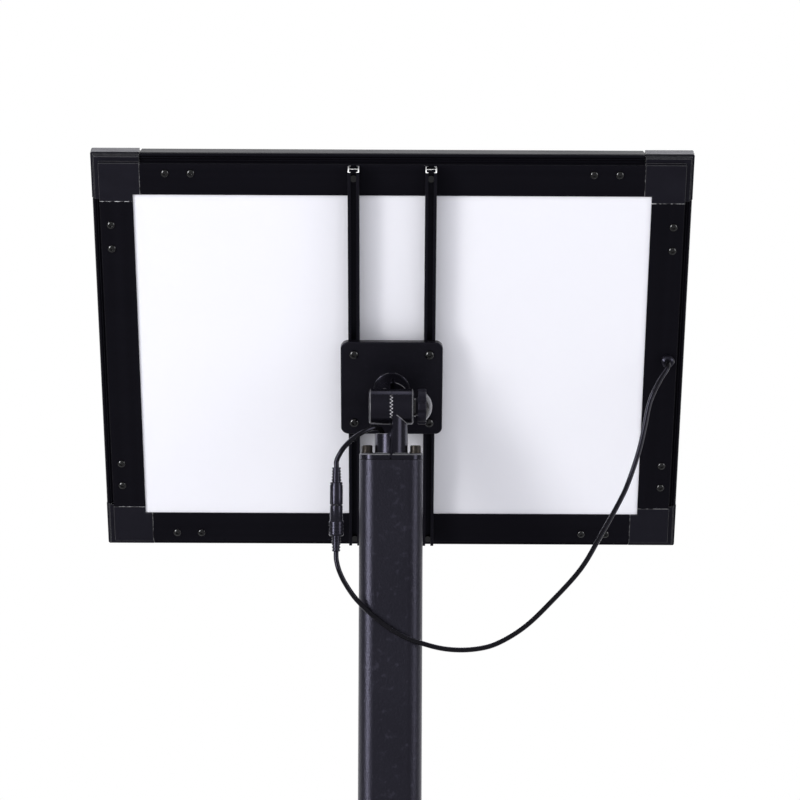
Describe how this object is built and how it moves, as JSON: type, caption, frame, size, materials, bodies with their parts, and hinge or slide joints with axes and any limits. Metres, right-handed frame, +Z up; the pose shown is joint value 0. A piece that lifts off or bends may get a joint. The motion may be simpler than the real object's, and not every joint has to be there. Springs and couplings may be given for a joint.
{
  "type": "led menu stand",
  "caption": "Floor stand with a tilting light box for a menu, in a black snap frame on rails, with a toothed joint clamped by a knob at the top of a post.",
  "frame": {"origin": "on the floor, at the middle of the base plate and on the post's axis", "axes": "+Z up; +Y the way the menu faces; +X to the right seen from behind, along the tilt axis towards the knob"},
  "size_m": [0.4692, 0.3, 1.2506],
  "materials": {
    "powder_coat": "fine-textured black powder coat",
    "post_coat": "satin black anodised aluminium",
    "cast_coat": "satin black coated casting",
    "black_steel": "black oxide steel",
    "bright_steel": "plated steel",
    "bright_alloy": "bright die-cast alloy",
    "rubber": "matt black rubber",
    "lead_sheath": "black PVC sheath",
    "moulded_black": "moulded black plastic",
    "knob_cap": "glossy dark cap",
    "white_sheet": "matt white sheet",
    "acrylic": "clear acrylic",
    "led_board": "white circuit board"
  },
  "bodies": {
    "stand": {"base_plate": "powder_coat", "rubber_feet": "rubber", "base_bolts": "black_steel", "post": "post_coat", "supply_bush": "rubber", "neck_casting": "cast_coat", "flange_bolts": "black_steel", "flange_washers": "black_steel", "clamp_washer": "black_steel", "post_lead": "lead_sheath"},
    "tilt_head": {"head_casting": "cast_coat", "clamp_nut": "bright_steel", "mount_plate": "powder_coat", "plate_screws": "black_steel", "slot_nuts": "bright_steel", "stem_screws": "black_steel", "lead_plug": "moulded_black", "plug_barrel": "bright_steel", "lead_socket": "moulded_black", "socket_pin": "bright_steel"},
    "knob": {"knob_grip": "moulded_black", "knob_cap": "knob_cap", "knob_stud": "bright_steel"},
    "panel": {"rail_left": "post_coat", "rail_right": "post_coat", "rail_screws": "black_steel", "frame_top": "post_coat", "frame_right": "post_coat", "frame_bottom": "post_coat", "frame_left": "post_coat", "corner_tr": "moulded_black", "corner_br": "moulded_black", "corner_bl": "moulded_black", "corner_tl": "moulded_black", "corner_keys": "bright_alloy", "frame_screws": "black_steel", "lid_springs": "bright_steel", "back_sheet": "white_sheet", "reflector_sheet": "white_sheet", "light_guide": "acrylic", "led_strip_top": "led_board", "led_strip_bottom": "led_board", "diffuser_sheet": "white_sheet", "cover_sheet": "acrylic", "panel_gland": "rubber", "panel_lead": "lead_sheath"},
    "lid_top": {"lid_top": "post_coat"},
    "lid_right": {"lid_right": "post_coat"},
    "lid_bottom": {"lid_bottom": "post_coat"},
    "lid_left": {"lid_left": "post_coat"}
  },
  "joints": [
    {"name": "tilt", "type": "hinge", "parent": "stand", "child": "tilt_head", "pos_m": [0, 0, 1.05], "axis": [1, 0, 0], "range_deg": [-24, 48], "deforming": ["post_lead"]},
    {"name": "panel_slide", "type": "slide", "parent": "tilt_head", "child": "panel", "axis": [0, -0.4384, 0.8988], "range_m": [-0.13, 0.1], "deforming": ["panel_lead"]},
    {"name": "knob_turn", "type": "hinge", "parent": "tilt_head", "child": "knob", "pos_m": [0.02, 0, 1.05], "axis": [1, 0, 0], "range_deg": [0, 720]},
    {"name": "lid_top_open", "type": "hinge", "parent": "panel", "child": "lid_top", "pos_m": [0, -0.02849, 1.2446], "axis": [1, 0, 0], "range_deg": [0, 100]},
    {"name": "lid_right_open", "type": "hinge", "parent": "panel", "child": "lid_right", "pos_m": [0.2324, 0.04643, 1.091], "axis": [0, 0.4384, -0.8988], "range_deg": [0, 100]},
    {"name": "lid_bottom_open", "type": "hinge", "parent": "panel", "child": "lid_bottom", "pos_m": [0, 0.12134, 0.9374], "axis": [-1, 0, 0], "range_deg": [0, 100]},
    {"name": "lid_left_open", "type": "hinge", "parent": "panel", "child": "lid_left", "pos_m": [-0.2324, 0.04643, 1.091], "axis": [0, -0.4384, 0.8988], "range_deg": [0, 100]}
  ]
}
